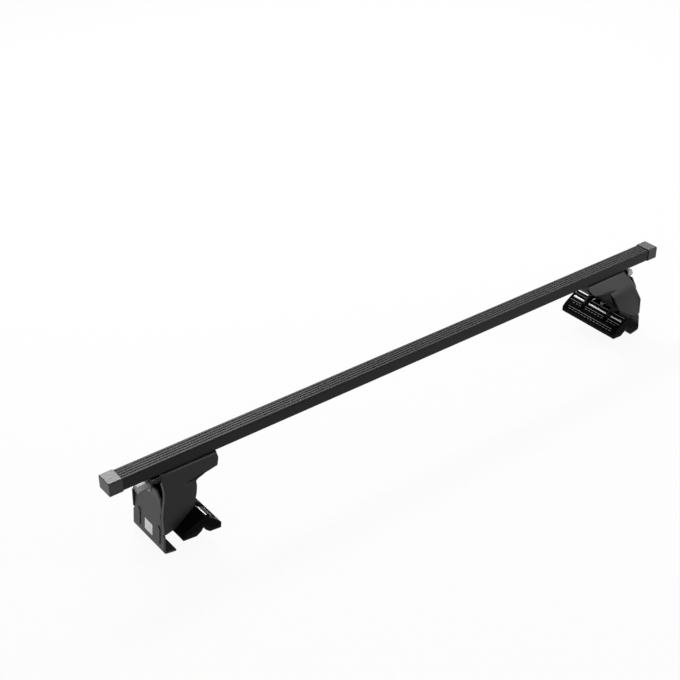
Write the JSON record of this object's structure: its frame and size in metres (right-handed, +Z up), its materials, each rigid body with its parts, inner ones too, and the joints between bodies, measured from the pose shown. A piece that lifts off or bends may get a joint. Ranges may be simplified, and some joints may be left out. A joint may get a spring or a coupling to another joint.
{
  "type": "roof rack crossbar",
  "caption": "Sleeved rectangular roof bar on sliding clamp feet, each with a moulded cover, a hinged rubber pad and a hooked claw drawn in by a long nut.",
  "frame": {"origin": "middle of the bounding box's bottom face, on the floor under the claws", "axes": "+X along the bar towards the right foot of the picture, +Y across the bar away from the camera, +Z up"},
  "size_m": [1.2, 0.135, 0.1516],
  "materials": {
    "tube_steel": "galvanised",
    "sleeve_plastic": "satin black",
    "cap_plastic": "matte dark grey",
    "cover_plastic": "satin black",
    "bracket_paint": "black paint",
    "claw_paint": "dark grey powder coat",
    "zinc_steel": "zinc plated",
    "rod_steel": "bright",
    "pad_plastic": "gloss black",
    "pad_rubber": "black"
  },
  "bodies": {
    "bar": {"bar_tube": "tube_steel", "bar_sleeve": "sleeve_plastic", "end_cap_left": "cap_plastic", "end_cap_right": "cap_plastic"},
    "foot_left": {"foot_cover_left": "cover_plastic", "foot_bracket_left": "bracket_paint", "nut_plate_left": "zinc_steel", "bar_bolts_left": "zinc_steel", "stud_block_left": "bracket_paint", "clamp_stud_left": "zinc_steel"},
    "claw_left": {"claw_plate_left": "claw_paint", "clamp_washer_left": "zinc_steel"},
    "nut_left": {"clamp_nut_left": "zinc_steel"},
    "pad_left": {"pad_carrier_left": "pad_plastic", "pad_sole_left": "pad_rubber", "hinge_rod_left": "rod_steel", "sole_screw_left": "zinc_steel"},
    "foot_right": {"foot_cover_right": "cover_plastic", "foot_bracket_right": "bracket_paint", "nut_plate_right": "zinc_steel", "bar_bolts_right": "zinc_steel", "stud_block_right": "bracket_paint", "clamp_stud_right": "zinc_steel"},
    "claw_right": {"claw_plate_right": "claw_paint", "clamp_washer_right": "zinc_steel"},
    "nut_right": {"clamp_nut_right": "zinc_steel"},
    "pad_right": {"pad_carrier_right": "pad_plastic", "pad_sole_right": "pad_rubber", "hinge_rod_right": "rod_steel", "sole_screw_right": "zinc_steel"}
  },
  "joints": [
    {"name": "foot_slide_left", "type": "slide", "parent": "bar", "child": "foot_left", "axis": [-1, 0, 0], "range_m": [-0.09, 0.01]},
    {"name": "claw_slide_left", "type": "slide", "parent": "foot_left", "child": "claw_left", "axis": [-1, 0, 0], "range_m": [-0.006, 0.008]},
    {"name": "nut_turn_left", "type": "hinge", "parent": "claw_left", "child": "nut_left", "pos_m": [-0.54, 0, 0.1075], "axis": [-1, 0, 0], "range_deg": [-1730, 2306]},
    {"name": "pad_tilt_left", "type": "hinge", "parent": "foot_left", "child": "pad_left", "pos_m": [-0.466, 0, 0.0535], "axis": [0, 1, 0], "range_deg": [-21, 1]},
    {"name": "foot_slide_right", "type": "slide", "parent": "bar", "child": "foot_right", "axis": [1, 0, 0], "range_m": [-0.09, 0.01]},
    {"name": "claw_slide_right", "type": "slide", "parent": "foot_right", "child": "claw_right", "axis": [1, 0, 0], "range_m": [-0.006, 0.008]},
    {"name": "nut_turn_right", "type": "hinge", "parent": "claw_right", "child": "nut_right", "pos_m": [0.54, 0, 0.1075], "axis": [1, 0, 0], "range_deg": [-1730, 2306]},
    {"name": "pad_tilt_right", "type": "hinge", "parent": "foot_right", "child": "pad_right", "pos_m": [0.466, 0, 0.0535], "axis": [0, -1, 0], "range_deg": [-13, 9]}
  ],
  "couplings": [
    {"joint": "nut_turn_left", "follows": "claw_slide_left", "rad_per_m": 5026.5},
    {"joint": "nut_turn_right", "follows": "claw_slide_right", "rad_per_m": 5026.5}
  ]
}
